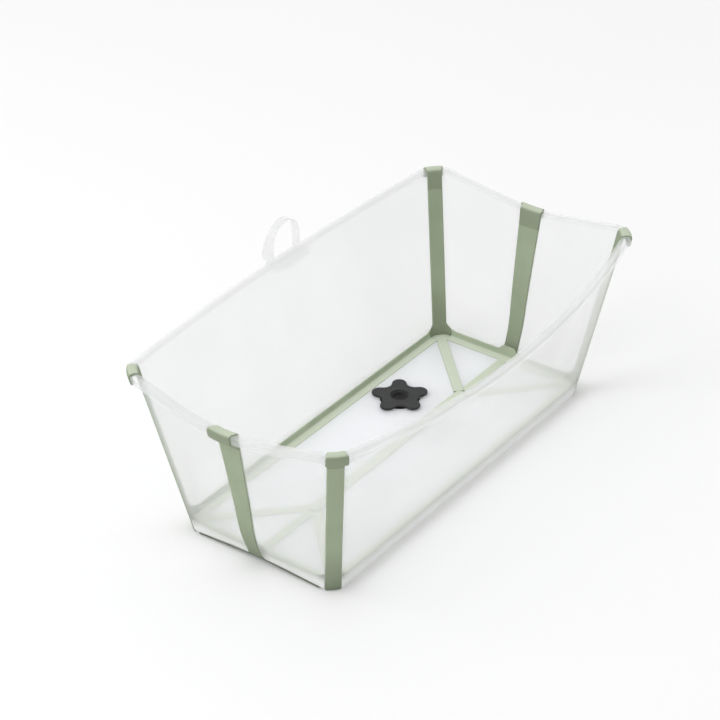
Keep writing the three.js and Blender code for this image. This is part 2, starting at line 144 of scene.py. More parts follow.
def end_point(y, out, up):
    """The right end wall, a distance y from its middle fold."""
    bow = 1 - np.abs(y / corner_y(up)) ** 1.5
    rise = 1 - np.exp(-np.clip(up - 8, 0, None) / END_KINK)
    knee = KNEE_PUSH * np.exp(-(((up - KNEE_HEIGHT) / KNEE_SPREAD) ** 2))
    shape = rise * (1 + knee - RIM_EASE * smooth(up / HEIGHT))
    x = length_at(up) / 2 + END_BULGE * shape * bow + out
    z = up * (1 - END_DIP / HEIGHT * bow * smooth(up / HEIGHT))
    return np.stack([x, y + 0 * x, z], -1)


def corner_point(turn, out, up):
    """The right back corner, turned from the end wall (0) round to the long wall (1), and
    flatter where its strip is."""
    angle = turn * math.pi / 2
    edge = math.pi / 4 - strip_edge(up) * math.pi / 2
    flat = np.minimum(np.cos(edge) / np.cos(angle - math.pi / 4), 1)
    reach = radius_at(up) * mix(1, flat, STRIP_FLAT) + out
    x = corner_x(up) + reach * np.cos(angle)
    return np.stack([x, corner_y(up) + reach * np.sin(angle), up + 0 * x], -1)


# ---- meshes ----
def link(name, mesh, angle=35):
    mesh.validate()
    obj = bpy.data.objects.new(name, mesh)
    bpy.context.scene.collection.objects.link(obj)
    for polygon in mesh.polygons:
        polygon.use_smooth = True
    mesh.set_sharp_from_angle(angle=math.radians(angle))
    return obj


def mesh_object(name, points, faces, angle=35):
    """A closed mesh from points in millimetres, with its faces turned outwards."""
    mesh = bpy.data.meshes.new(name)
    mesh.from_pydata((np.asarray(points) * 0.001 + ORIGIN).tolist(), [], faces)
    bm = bmesh.new()
    bm.from_mesh(mesh)
    bmesh.ops.recalc_face_normals(bm, faces=bm.faces)
    bm.to_mesh(mesh)
    bm.free()
    return link(name, mesh, angle)


def samples(length, count, rim, round_start=True, round_end=True):
    """Shares 0..1, with extra samples over the last `rim` millimetres where an edge is rounded."""
    edge = rim / length * np.array([0, 0.06, 0.2, 0.5, 1.0])
    low = edge if round_start else np.array([0.0])
    high = 1 - edge[::-1] if round_end else np.array([1.0])
    return np.concatenate([low, np.linspace(low[-1], high[0], count)[1:-1], high])


def edge_share(t, length, rim, round_start=True, round_end=True):
    """1 at a rounded edge, falling to 0 at `rim` millimetres from it."""
    near = np.zeros_like(t)
    if round_start:
        near = np.maximum(near, 1 - t * length / rim)
    if round_end:
        near = np.maximum(near, 1 - (1 - t) * length / rim)
    return np.clip(near, 0, 1)


def grid_faces(rows, columns, offset=0, flip=False):
    i = np.arange(rows * columns).reshape(rows, columns) + offset
    quads = np.stack([i[:-1, :-1], i[1:, :-1], i[1:, 1:], i[:-1, 1:]], -1).reshape(-1, 4)
    return (quads[:, ::-1] if flip else quads).tolist()


def sheet(name, middle, half, angle=35):
    """A closed skin on both sides of a grid of points, `half` millimetres from each."""
    rows, columns = middle.shape[:2]
    normal = np.cross(np.gradient(middle, axis=0), np.gradient(middle, axis=1))
    normal /= np.linalg.norm(normal, axis=-1, keepdims=True)
    offset = normal * half[..., None]
    points = np.concatenate([(middle + offset).reshape(-1, 3), (middle - offset).reshape(-1, 3)])
    count = rows * columns
    faces = grid_faces(rows, columns) + grid_faces(rows, columns, count, True)
    i = np.arange(count).reshape(rows, columns)
    loop = np.concatenate([i[:-1, 0], i[-1, :-1], i[:0:-1, -1], i[0, :0:-1]])
    for a, b in zip(loop, np.roll(loop, -1)):
        faces.append([int(a), int(b), int(b) + count, int(a) + count])
    return mesh_object(name, points, faces, angle)


def loft(name, rings, angle=35):
    """A closed tube through rings of points, with flat ends."""
    rings = np.asarray(rings, float)
    count, around = rings.shape[:2]
    i = np.arange(count * around).reshape(count, around)
    j = np.roll(i, -1, axis=1)
    faces = np.stack([i[:-1], i[1:], j[1:], j[:-1]], -1).reshape(-1, 4).tolist()
    faces += [i[0].tolist(), i[-1, ::-1].tolist()]
    return mesh_object(name, rings.reshape(-1, 3), faces, angle)


def rounded(corners, steps=5):
    """A closed outline whose corners [x, y, radius] are rounded."""
    points = []
    for k, (x, y, radius) in enumerate(corners):
        here = np.array([x, y], float)
        to_before = np.array(corners[k - 1][:2]) - here
        to_after = np.array(corners[(k + 1) % len(corners)][:2]) - here
        lengths = np.linalg.norm(to_before), np.linalg.norm(to_after)
        to_before, to_after = to_before / lengths[0], to_after / lengths[1]
        half = math.acos(float(np.clip(to_before @ to_after, -1, 1))) / 2
        cut = min(radius / math.tan(half), 0.48 * min(lengths))
        for t in np.linspace(0, 1, steps):
            a, c = here + to_before * cut, here + to_after * cut
            points.append(a * (1 - t) ** 2 + here * 2 * t * (1 - t) + c * t**2)
    return np.array(points)


def arc(centre, radius, start, stop, steps):
    a = np.radians(np.linspace(start, stop, steps))
    return np.stack([centre[0] + radius * np.cos(a), centre[1] + radius * np.sin(a)], -1)


def slab(name, outlines, low, high, bevel=0.5):
    """A flat plate with rounded edges; the outlines after the first are its holes."""
    curve = bpy.data.curves.new(name + "_outline", "CURVE")
    curve.dimensions, curve.fill_mode = "2D", "BOTH"
    curve.extrude = (high - low) / 2 - bevel
    curve.bevel_depth, curve.bevel_resolution, curve.offset = bevel, 2, -bevel
    for outline in outlines:
        spline = curve.splines.new("POLY")
        spline.points.add(len(outline) - 1)
        coordinates = np.column_stack([outline, np.zeros(len(outline)), np.ones(len(outline))])
        spline.points.foreach_set("co", coordinates.ravel())
        spline.use_cyclic_u = True
    obj = bpy.data.objects.new(name + "_outline", curve)
    bpy.context.scene.collection.objects.link(obj)
    bpy.context.view_layer.update()
    mesh = bpy.data.meshes.new_from_object(obj.evaluated_get(bpy.context.evaluated_depsgraph_get()))
    bpy.data.objects.remove(obj)
    mesh.name = name
    bm = bmesh.new()
    bm.from_mesh(mesh)
    bmesh.ops.remove_doubles(bm, verts=bm.verts, dist=1e-3)
    for vert in bm.verts:
        vert.co = Vector((vert.co.x, vert.co.y, vert.co.z + (low + high) / 2)) * 0.001 + Vector(ORIGIN)
    bmesh.ops.recalc_face_normals(bm, faces=bm.faces)
    bm.to_mesh(mesh)
    bm.free()
    return link(name, mesh)


def mirrored(obj, name, left, front):
    """A copy of a right back piece on another quarter of the tub."""
    mesh = obj.data.copy()
    mesh.name = name
    bm = bmesh.new()
    bm.from_mesh(mesh)
    for vert in bm.verts:
        x = -vert.co.x if left else vert.co.x
        y = 2 * MIDDLE_Y - vert.co.y if front else vert.co.y
        vert.co = Vector((x, y, vert.co.z))
    if left != front:
        bmesh.ops.reverse_faces(bm, faces=bm.faces)
    bm.to_mesh(mesh)
    bm.free()
    return link(name, mesh)


def creased(obj, point, normal, offsets):
    """Cuts extra edges parallel to a fold line, so that the piece bends along it."""
    normal = Vector(normal).normalized()
    bm = bmesh.new()
    bm.from_mesh(obj.data)
    for offset in offsets:
        place = (Vector(point) + normal * offset) * 0.001 + Vector(ORIGIN)
        everything = bm.verts[:] + bm.edges[:] + bm.faces[:]
        bmesh.ops.bisect_plane(bm, geom=everything, plane_co=place, plane_no=normal)
    bm.to_mesh(obj.data)
    bm.free()
    return obj


# ---- materials ----
# heights in metres between which the rubber's painted light and painted shade come in
WALL_FOOT = 0.011, 0.024
# painted light on the floor strips' upward faces; below the floor, painted shade on the floor strips, and on
# the side strips a pale tone that paints the shade out
FLOOR_TOP_LIGHT, UNDER_FLOOR = (0.0155, 0.0128), (0.0095, 0.0088)
# painted light on the rim caps' upward faces; painted shade on the upright skirts of the corner caps and of
# the middle caps
RIM_TOP_LIGHT, CORNER_SKIRT_SHADE, MIDDLE_SKIRT_SHADE = (0.19, 0.2), (0.2138, 0.2148), (0.1945, 0.1955)
# painted shade: the upright strips darken towards the ground
FOOT_SHADE = 0.08, 0.0
# painted shade: the charcoal parts darken deeper in the plug's dish and further down
DISH_UNDER = 0.0012, 0.0034  # these two are depths below the plug's top
DISH_SHADE = tuple(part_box("drain_plug")[1][2] - depth for depth in DISH_UNDER)


class Nodes:
    """A short way to write a node material."""

    def __init__(self, name):
        self.material = bpy.data.materials.new(name)
        self.material.use_nodes = True
        self.tree = self.material.node_tree
        self.tree.nodes.clear()

    def add(self, kind, values=None, **settings):
        node = self.tree.nodes.new(kind)
        for key, value in settings.items():
            setattr(node, key, value)
        for key, value in (values or {}).items():
            if isinstance(value, bpy.types.NodeSocket):
                self.tree.links.new(value, node.inputs[key])
            else:
                node.inputs[key].default_value = value
        return node

    def position(self):
        return self.add("ShaderNodeTexCoord").outputs["Object"]

    def noise(self, scale, detail=3.0, vector=None):
        place = vector or self.position()
        values = {"Vector": place, "Scale": scale, "Detail": detail}
        return self.add("ShaderNodeTexNoise", values).outputs["Fac"]

    def ramp(self, factor, low, high, start=0.35, stop=0.65):
        node = self.add("ShaderNodeValToRGB", {"Fac": factor})
        node.color_ramp.elements[0].color, node.color_ramp.elements[0].position = (*low, 1), start
        node.color_ramp.elements[1].color, node.color_ramp.elements[1].position = (*high, 1), stop
        return node.outputs["Color"]

    def span(self, factor, low, high):
        values = {"Value": factor, "From Min": 0.3, "From Max": 0.7, "To Min": low, "To Max": high}
        return self.add("ShaderNodeMapRange", values).outputs["Result"]

    def bump(self, height, strength, distance, normal=None):
        values = {"Height": height, "Strength": strength, "Distance": distance}
        if normal:
            values["Normal"] = normal
        return self.add("ShaderNodeBump", values).outputs["Normal"]

    def blend(self, factor, a, b):
        return self.add("ShaderNodeMixShader", {0: factor, 1: a, 2: b}).outputs[0]

    def finish(self, shader):
        self.tree.links.new(shader, self.add("ShaderNodeOutputMaterial").inputs["Surface"])
        return self.material


def frosted(name, tint, clear, haze, milk, foot=False):
    """Moulded translucent plastic: part of the light goes straight on, part is softened by the
    frosted faces, and the rest is spread inside. A fine moulded grain covers both faces. The
    thicker foot of a wall lets less through."""
    n = Nodes(name)
    grain = n.noise(1500.0, 2.0)
    cloud = n.noise(9.0, 3.0)
    normal = n.bump(grain, 0.12, 0.0004, n.bump(cloud, 0.05, 0.002))
    colour = n.ramp(cloud, tuple(c * 0.98 for c in tint), tint)
    straight = n.add("ShaderNodeBsdfTransparent", {"Color": colour}).outputs[0]
    rough = n.span(grain, haze * 0.9, haze * 1.1)
    values = {"Color": colour, "Roughness": rough, "IOR": 1.1, "Normal": normal}
    soft = n.add("ShaderNodeBsdfRefraction", values).outputs[0]
    through = n.blend(0.12, straight, soft)
    spread = n.add("ShaderNodeBsdfTranslucent", {"Color": colour, "Normal": normal}).outputs[0]
    face = n.add("ShaderNodeBsdfDiffuse", {"Color": colour, "Roughness": 0.5, "Normal": normal}).outputs[0]
    if foot:
        height = n.add("ShaderNodeSeparateXYZ", {0: n.position()}).outputs["Z"]

        def risen(low, high):
            start, stop = WALL_FOOT
            values = {"Value": height, "From Min": start, "From Max": stop, "To Min": low, "To Max": high}
            return n.add("ShaderNodeMapRange", values).outputs[0]

        clear, milk = risen(clear * 0.2, clear), risen(0.92, milk)
    milky = n.blend(milk, spread, face)
    values = {"Color": (1, 1, 1, 1), "Roughness": 0.32, "Normal": normal}
    gloss = n.add("ShaderNodeBsdfGlossy", values).outputs[0]
    inside = n.add("ShaderNodeNewGeometry").outputs["Backfacing"]
    outside = n.add("ShaderNodeMath", {0: 1.0, 1: inside}, operation="SUBTRACT").outputs[0]
    edge = n.add("ShaderNodeFresnel", {"IOR": 1.42, "Normal": normal}).outputs[0]
    edge = n.add("ShaderNodeMath", {0: edge, 1: outside}, operation="MULTIPLY").outputs[0]
    shown = n.blend(edge, n.blend(clear, milky, through), gloss)
    ghost = n.add("ShaderNodeBsdfTransparent", {"Color": (0.955, 0.957, 0.957, 1)}).outputs[0]
    # shadow rays, and three quarters of what diffuse bounces see, pass as through a pale pane
    path = n.add("ShaderNodeLightPath").outputs
    indirect = n.add("ShaderNodeMath", {0: path["Is Diffuse Ray"], 1: 0.75}, operation="MULTIPLY").outputs[0]
    passing = n.add("ShaderNodeMath", {0: path["Is Shadow Ray"], 1: indirect}, operation="MAXIMUM").outputs[0]
    return n.finish(n.blend(passing, shown, ghost))


def rubber(
    name, low, high, roughness, grain_scale, grain_depth,
    top_light=None, shading_tone=None, shading_heights=UNDER_FLOOR, skirt=CORNER_SKIRT_SHADE,
):
    """Soft moulded rubber with a fine grain and slight handling marks. It may carry painted light,
    paler on the upward faces of the floor strips and of the rim caps, and painted shade, darker
    through a given band of heights and on the upright faces above `skirt`. The floor's side
    strips are painted pale through that band instead, which paints out shade."""
    n = Nodes(name)
    grain = n.noise(grain_scale, 4.0)
    patches = n.noise(22.0, 4.0)
    normal = n.bump(grain, 0.35, grain_depth, n.bump(patches, 0.1, 0.0006))
    colour = n.ramp(patches, low, high)
    if shading_tone:
        height = n.add("ShaderNodeSeparateXYZ", {0: n.position()}).outputs["Z"]

        def share(start, stop):
            values = {"Value": height, "From Min": start, "From Max": stop}
            return n.add("ShaderNodeMapRange", values).outputs[0]

        def both(a, b, operation="MULTIPLY"):
            return n.add("ShaderNodeMath", {0: a, 1: b}, operation=operation).outputs[0]

        def tinted(factor, a, b):
            return n.add("ShaderNodeMix", {0: factor, 6: a, 7: (*b, 1)}, data_type="RGBA").outputs[2]

        facing = n.add("ShaderNodeTexCoord").outputs["Normal"]
        upward = n.add("ShaderNodeSeparateXYZ", {0: facing}).outputs["Z"]
        upward = n.add("ShaderNodeMapRange", {"Value": upward, "From Min": 0.55, "From Max": 0.95}).outputs[0]
        # masks for painted light: upward faces of the floor strips, and at 0.6 those of the rim caps
        lit_floor_top, lit_rim_top = share(*FLOOR_TOP_LIGHT), both(share(*RIM_TOP_LIGHT), 0.6)
        if top_light:
            sideways = n.add("ShaderNodeMath", {0: 1.0, 1: upward}, operation="SUBTRACT").outputs[0]
            # painted shade: upright faces above the skirt heights are darker
            colour = tinted(both(both(sideways, share(*skirt)), 0.6), colour, shading_tone)
            # painted light: the masked upward faces are paler
            colour = tinted(both(upward, both(lit_floor_top, lit_rim_top, "MAXIMUM")), colour, top_light)
        # painted shade through the band of heights; on the side strips the tone there is pale and paints the
        # shade out
        colour = tinted(share(*shading_heights), colour, shading_tone)
    rough = n.span(patches, roughness - 0.06, roughness + 0.08)
    values = {"Base Color": colour, "Roughness": rough, "Normal": normal, "Specular IOR Level": 0.35}
    return n.finish(n.add("ShaderNodeBsdfPrincipled", values).outputs[0])


WALL = frosted("frosted_wall", (0.97, 0.972, 0.971), clear=0.76, haze=0.07, milk=0.5, foot=True)
FLOOR = frosted("frosted_floor", (0.965, 0.973, 0.99), clear=0.16, haze=0.15, milk=0.7)
# one sage rubber in two tones: the second, for the floor strips, is made lighter, painted light against the
# shade inside the tub
SAGE_OUTER = (0.305, 0.362, 0.247), (0.345, 0.408, 0.283)
SAGE_INNER_LIT = (0.38, 0.44, 0.315), (0.43, 0.495, 0.36)
# painted light: a pale tone for upward faces; painted shade: a dark tone below the floor strips
SAGE_PAINTED_LIGHT, SAGE_FLOOR_SHADE = (0.62, 0.68, 0.545), (0.13, 0.155, 0.11)
# painted shade for the upright strips, near the ground and on the caps' skirts
SAGE_UPRIGHT_SHADE = tuple(0.68 * c for c in SAGE_OUTER[0])
SAGE_GRAIN = 0.62, 2600.0, 0.00012  # roughness, and the scale and depth of the grain
SAGE = rubber("sage_rubber", *SAGE_OUTER, *SAGE_GRAIN, SAGE_PAINTED_LIGHT, SAGE_UPRIGHT_SHADE, FOOT_SHADE)
SAGE_MIDDLE = rubber("sage_middle", *SAGE_OUTER, *SAGE_GRAIN, SAGE_PAINTED_LIGHT, SAGE_UPRIGHT_SHADE, FOOT_SHADE, MIDDLE_SKIRT_SHADE)
SAGE_FLOOR = rubber("sage_floor", *SAGE_INNER_LIT, *SAGE_GRAIN, SAGE_PAINTED_LIGHT, SAGE_FLOOR_SHADE)
# on the side strips the pale tone is used below the floor too, painted light that hides the shade seen
# through the walls
SAGE_SIDE = rubber("sage_side", *SAGE_INNER_LIT, *SAGE_GRAIN, SAGE_PAINTED_LIGHT, SAGE_PAINTED_LIGHT)
CHARCOAL_RANGE = (0.028, 0.029, 0.029), (0.038, 0.039, 0.039)
# painted shade: the tone the plug and its ring darken to, deep in the dish and lower down
CHARCOAL_SHADE = (0.008, 0.008, 0.008)
CHARCOAL_GRAIN = 0.6, 1800.0, 0.0001
CHARCOAL = rubber("charcoal_rubber", *CHARCOAL_RANGE, *CHARCOAL_GRAIN, shading_tone=CHARCOAL_SHADE, shading_heights=DISH_SHADE)
STRAP = frosted("clear_strap", (0.95, 0.95, 0.95), clear=0.6, haze=0.12, milk=0.5)


def finished(obj, material, node=None):
    obj.data.materials.clear()
    obj.data.materials.append(material)
    if node:
        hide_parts(node)
    return obj


# ---- upright walls ----
FOOT_UP = np.array([0, 1.5, 3.0, 4.2, 6.0])  # heights over which a wall's thicker foot ends
FOOT_SWELL = np.array([1.5, 1.5, 1.5, 0.75, 0])


def wall_profile(bottom, inside, outside, cap, foot=False, count=26):
    """The middle line of an upright section from its lower edge over the squared roll of the
    rim: out, up, half thickness, and length along the line."""
    centre_out, centre_up = ROLL - PANEL, HEIGHT - ROLL
    middle, half = (outside + inside) / 2, (outside - inside) / 2
    roll_inner, roll_outer = centre_out - outside, ROLL + cap
    roll_radius, roll_half = (roll_inner + roll_outer) / 2, (roll_outer - roll_inner) / 2
    up = np.linspace(bottom, centre_up, count)
    swell = np.zeros(count)
    if foot:
        up = np.concatenate([bottom + FOOT_UP, np.linspace(bottom + 9, centre_up, count)])
        swell = np.concatenate([FOOT_SWELL, swell])
    to_roll = smooth((up - CAP_FOOT) / (centre_up - CAP_FOOT))
    out = mix(middle, centre_out - roll_radius, to_roll) - swell
    thick = mix(half, roll_half, to_roll) + swell
    bend = np.linspace(math.pi, 0, 30)[1:]
    c, s = np.cos(bend), np.sin(bend)
    hem = np.linspace(centre_up, HEIGHT - ROLL_DROP - (CAP_DROP if cap else 0), 5)[1:]
    over = centre_out + roll_radius * np.sign(c) * np.abs(c) ** ROLL_SQUARE
    out = np.concatenate([out, over, np.full(len(hem), centre_out + roll_radius)])
    up = np.concatenate([up, centre_up + roll_radius * np.abs(s) ** ROLL_SQUARE, hem])
    thick = np.concatenate([thick, np.full(len(bend) + len(hem), roll_half)])
    along = np.concatenate([[0], np.cumsum(np.hypot(np.diff(out), np.diff(up)))])
    return out, up, thick, along


def wall_sheet(name, point, profile, length, count, rounds=(True, True), rim=1.4, extra=()):
    """Skins a wall: point(share, out, up) for shares 0..1 across it, `extra` shares among them."""
    out, up, thick, along = profile
    total = along[-1]
    ends = np.concatenate([along / total, samples(total, 3, rim)])
    v = np.unique(np.round(ends, 6))
    o, p, t = (np.interp(v * total, along, line) for line in (out, up, thick))
    u = np.unique(np.round(np.concatenate([samples(length, count, rim, *rounds), extra]), 6))
    middle = np.stack([point(share, o, p) for share in u])
    near = edge_share(u, length, rim, *rounds)[:, None] ** 2 + edge_share(v, total, rim)[None, :] ** 2
    half = t[None, :] * np.sqrt(np.clip(1 - near, 0.02, 1))
    return sheet(name, middle, half)


PANEL_WALL = dict(inside=-PANEL, outside=0.0, cap=0.0)
STRIP_WALL = dict(inside=PROUD - STRIP, outside=PROUD, cap=CAP_EXTRA)
TURN = 0.018  # share of a long wall that runs round one corner
END_TURN = 0.07  # and of half an end wall


def long_wall(share, out, up):
    """The back wall, with both of its ends turned round the corners up to the corner strips."""
    if TURN <= share <= 1 - TURN:
        return side_point((share - 0.5) / (0.5 - TURN), out, up)
    depth = (TURN - min(share, 1 - share)) / TURN
    point = corner_point(1 - depth * strip_edge(up, GAP, out), out, up)
    return point * np.array([-1, 1, 1]) if share < 0.5 else point


round_corner = np.linspace(0, TURN, 7)
side = wall_sheet(
    "long_wall_back",
    long_wall,
    wall_profile(0.0, foot=True, **PANEL_WALL),
    length=540,
    count=72,
    extra=np.concatenate([round_corner, 1 - round_corner]),
)
side_front = mirrored(side, "long_wall_front", False, True)
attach(finished(side, WALL, "back_wall_panel"), "back_wall")
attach(finished(side_front, WALL, "front_wall_panel"), "front_wall")


def mid_edge(is_front, out, up):
    """Distance from the middle fold to the edge of its strip. On the rim's skirt the cap is
    wider towards the back and narrower towards the front."""
    return mid_half(up) + (CAP_TONGUE_FRONT if is_front else CAP_TONGUE_BACK) * smooth((out - 1.5) / 5)


def end_wall(is_front):
    def point(share, out, up):
        if share > 1 - END_TURN:
            return corner_point((share - 1 + END_TURN) / END_TURN * strip_edge(up, GAP, out), out, up)
        y = mix(mid_edge(is_front, out, up) + GAP, corner_y(up), share / (1 - END_TURN))
        edge = mix(END_EDGE_MIDDLE, END_EDGE_CORNER, share / (1 - END_TURN))
        lifted = up + (edge - END_EDGE_CORNER) * np.clip(1 - (up - END_EDGE_CORNER) / 30, 0, 1)
        return end_point(y, out, lifted)

    profile = wall_profile(END_EDGE_CORNER, **PANEL_WALL)
    round_corner = 1 - np.linspace(0, END_TURN, 6)
    return wall_sheet("end_wall", point, profile, length=115, count=30, extra=round_corner)


MIDDLE_FLARE, MIDDLE_FLARE_REACH = 4.0, 7.0  # how much wider the strip's foot is, fading upwards


def mid_strip(is_front):
    """Half of the end wall's middle strip, with its half of the cap over the rim."""
    bottom = END_EDGE_MIDDLE + 0.3
    out, up, thick, along = wall_profile(bottom, **STRIP_WALL)
    # keeps clear of the floor strip's leg
    slim = np.clip((LEG_TOP + 2 - up) / 3, 0, 1) * (up < 40)
    profile = out + 0.25 * slim, up, thick - 0.25 * slim, along

    def point(share, out, up):
        flare = MIDDLE_FLARE * np.exp(-np.clip(up - bottom, 0, None) / MIDDLE_FLARE_REACH)
        return end_point(mix(0.02, mid_edge(is_front, out, up) + flare, share), out, up)

    return wall_sheet("mid_strip", point, profile, length=14, count=12, rounds=(False, True), rim=0.9)


def corner_strip():
    def point(share, out, up):
        edge = strip_edge(up, 0, out)
        return corner_point(mix(edge, 1 - edge, share), out, up)

    profile = wall_profile(0.6, **STRIP_WALL)
    return wall_sheet("corner_strip", point, profile, length=22, count=20, rim=1.0)


ends = {is_front: (end_wall(is_front), mid_strip(is_front)) for is_front in (False, True)}


# ---- floor ----
def wall_inside(z):
    return width_at(z) / 2 - PANEL - 0.1


def end_inside(z):
    return length_at(z) / 2 - PANEL - 0.1


INNER_X = length_at(FLOOR_LOW) / 2 - PANEL - 0.3
INNER_Y = width_at(FLOOR_LOW) / 2 - PANEL - 0.3
STRIP_X, STRIP_Y = INNER_X - END_STRIP, INNER_Y - SIDE_STRIP
SHORT = 5  # the floor strips stop this far short of a corner
PATCH_X, PATCH_Y = corner_x(FLOOR_MID) - SHORT, corner_y(FLOOR_MID) - SHORT
CORNER_START = strip_edge(LEG_TOP) * radius_at(LEG_TOP) * math.pi / 2  # strip's edge, along the arc
CORNER_NEAR = CORNER_START + SHORT  # the same from the end of a floor strip


def leg_top(distance, rise=LEG_RISE, reach=LEG_REACH):
    """The floor strips climb the walls higher beside the upright strips."""
    return LEG_TOP + rise * np.clip(1 - distance / reach, 0, 1) ** 2


def side_strip_outline(top):
    corners = [[STRIP_Y, STRIP_LOW, 0.8], [wall_inside(STRIP_LOW), STRIP_LOW, 0.8]]
    corners += [[wall_inside(top), top, 0.4]]
    corners += [[wall_inside(top) - 1.6, top, 0.7], [wall_inside(STRIP_HIGH) - 2.0, STRIP_HIGH + 0.4, 4.0]]
    corners += [[STRIP_Y, STRIP_HIGH, 0.5]]
    return rounded(corners, 6)


def spaced(*spans):
    """Stations along a strip from spans of (start, stop, count)."""
    return np.concatenate([np.linspace(*span) for span in spans])


near_end, middle_end = PATCH_X - 16, PATCH_X - 24
stations = spaced((-PATCH_X, -near_end, 12), (-middle_end, middle_end, 30), (near_end, PATCH_X, 12))
rings = []
for x in stations:
    outline = side_strip_outline(leg_top(CORNER_NEAR + PATCH_X - abs(x)))
    rings.append([[x, y, z] for y, z in outline])
side_strip = loft("floor_side_back", rings)

rings = []
for y in spaced((0.02, 16, 12), (19, PATCH_Y - 16, 10), (PATCH_Y - 14, PATCH_Y, 12)):
    low = mix(END_EDGE_MIDDLE, END_EDGE_CORNER, y / corner_y(0.0)) - 0.15
    top = leg_top(CORNER_NEAR + PATCH_Y - y) + leg_top(max(0, y - MID_HALF_BASE), 7.0, 9.0) - LEG_TOP
    hook, face, wall = low - 1.5, length_at(low) / 2 + PROUD, end_inside(low)
    corners = [[STRIP_X, STRIP_LOW, 0.8], [wall - 2.4, STRIP_LOW, 0.6], [wall - 2.4, hook, 0.8]]
    corners += [[face, hook, 1.0], [face, low + 0.1, 0.5], [wall, low + 0.1, 0.1]]
    corners += [[end_inside(top), top, 0.4], [end_inside(top) - 1.6, top, 0.7]]
    corners += [[end_inside(STRIP_HIGH) - 2.0, STRIP_HIGH + 0.4, 4.0], [STRIP_X, STRIP_HIGH, 0.5]]
    rings.append([[x, y, z] for x, z in rounded(corners, 6)])
end_strip = loft("floor_end", rings)


def corner_leg():
    """The same leg carried round the inside of a corner, below its strip."""
    arcs = [(1 - t, 0.0) for t in np.linspace(0, 1, 19)]
    start = [(1.0, beyond) for beyond in (SHORT - GAP, 3, 1.5)]
    stop = [(0.0, beyond) for beyond in (1.5, 3, SHORT - GAP)]
    rings = []
    for turn, beyond in start + arcs + stop:
        round_arc = min(turn, 1 - turn) * radius_at(LEG_TOP) * math.pi / 2
        top = leg_top(max(0, CORNER_START - round_arc) + beyond)
        base = STRIP_HIGH + 0.1
        corners = [[-PANEL - 0.2, base, 0.1], [-PANEL - 0.2, top, 0.3]]
        corners += [[-PANEL - 1.7, top, 0.7], [-PANEL - 2.2, base, 0.1]]
        out, up = rounded(corners, 5).T
        ring = corner_point(turn, out, up)
        ring[:, 0 if turn > 0.5 else 1] -= beyond
        rings.append(ring)
    return loft("corner_leg", rings)


def joined(obj, other):
    """One piece made of two bodies."""
    bm = bmesh.new()
    bm.from_mesh(obj.data)
    bm.from_mesh(other.data)
    bm.to_mesh(obj.data)
    bm.free()
    bpy.data.objects.remove(other)
    return obj


corner = joined(corner_strip(), corner_leg())


def floor_outline():
    low, high = RIDGE_HALF + GAP, STRIP_Y - GAP
    inset = (DIAGONAL_HALF + GAP) * math.sqrt(2)
    low_x, high_x = APEX_X - inset + low, APEX_X - inset + high
    return rounded([[-high_x, high, 1.5], [-low_x, low, 2], [low_x, low, 2], [high_x, high, 1.5]], 6)


seat_low, seat_high = box_mm("drain_seat")
DRAIN = (seat_low[:2] + seat_high[:2]) / 2
HOLE = 20.0
drain_hole = arc(DRAIN, HOLE + 0.2, 0, 360, 73)[:-1]
panel_back = slab("floor_plate_back", [floor_outline(), drain_hole], FLOOR_LOW, FLOOR_HIGH)
panel_plain = slab("floor_plate_plain", [floor_outline()], FLOOR_LOW, FLOOR_HIGH)
panel_front = mirrored(panel_plain, "floor_plate_front", False, True)
bpy.data.objects.remove(panel_plain)

inset = (DIAGONAL_HALF + GAP) * math.sqrt(2)
right, low = STRIP_X - GAP, CENTRE_HALF + GAP
apex = APEX_X + inset
triangle_outline = rounded([[apex + low, low, 1.5], [right, low, 2], [right, right - APEX_X - inset, 1.5]], 6)
triangle = slab("floor_triangle", [triangle_outline], FLOOR_LOW, FLOOR_HIGH)

reach = radius_at(FLOOR_MID) - STRIP
corner_centre = corner_x(FLOOR_MID), corner_y(FLOOR_MID)
flank = DIAGONAL_HALF * math.sqrt(2)
start, half_cut = (HUB + 0.2) / math.sqrt(2), DIAGONAL_HALF / math.sqrt(2)
upper, lower = STRIP_Y - GAP, STRIP_X - GAP
outline = [[APEX_X + start - half_cut, start + half_cut], [APEX_X - flank + upper, upper]]
outline += [[PATCH_X + GAP, upper], [PATCH_X + GAP, corner_centre[1] + reach]]
for angle in np.linspace(90, 0, 13):
    outline.append((corner_point(angle / 90, -STRIP, np.array([FLOOR_MID]))[0, :2]).tolist())
outline += [[corner_centre[0] + reach, PATCH_Y + GAP], [lower, PATCH_Y + GAP]]
outline += [[lower, lower - APEX_X - flank], [APEX_X + start + half_cut, start - half_cut]]
diagonal = slab("floor_diagonal", [np.array(outline)], STRIP_LOW, STRIP_HIGH, 0.45)
creases = [-6, -4.5, -3, -2, -1, 0, 1, 2, 3, 4.5, 6]
diagonal = creased(diagonal, (APEX_X, 0, 0), (1, -1, 0), creases)

near = APEX_X + DIAGONAL_HALF * math.sqrt(2) + 0.2
centre_outline = [[near + 0.02, 0.02], [right, 0.02], [right, CENTRE_HALF], [near + CENTRE_HALF, CENTRE_HALF]]
centre = slab("floor_centre", [np.array(centre_outline)], STRIP_LOW, STRIP_HIGH, 0.02)

ridge_angle = math.degrees(math.asin(min(1, RIDGE_HALF / HUB)))
right_end = arc((APEX_X, 0), HUB, -ridge_angle, ridge_angle, 24)
left_end = arc((-APEX_X, 0), HUB, 180 - ridge_angle, 180 + ridge_angle, 24)
ridge_outline = np.concatenate([right_end, left_end])
ridge = slab("floor_ridge", [ridge_outline], STRIP_LOW, STRIP_HIGH, 0.45)
creases = [-6.5, -5, -3.5, -2, -1, 0, 1, 2, 3.5, 5, 6.5]
ridge = creased(ridge, (0, 0, 0), (0, 1, 0), creases)


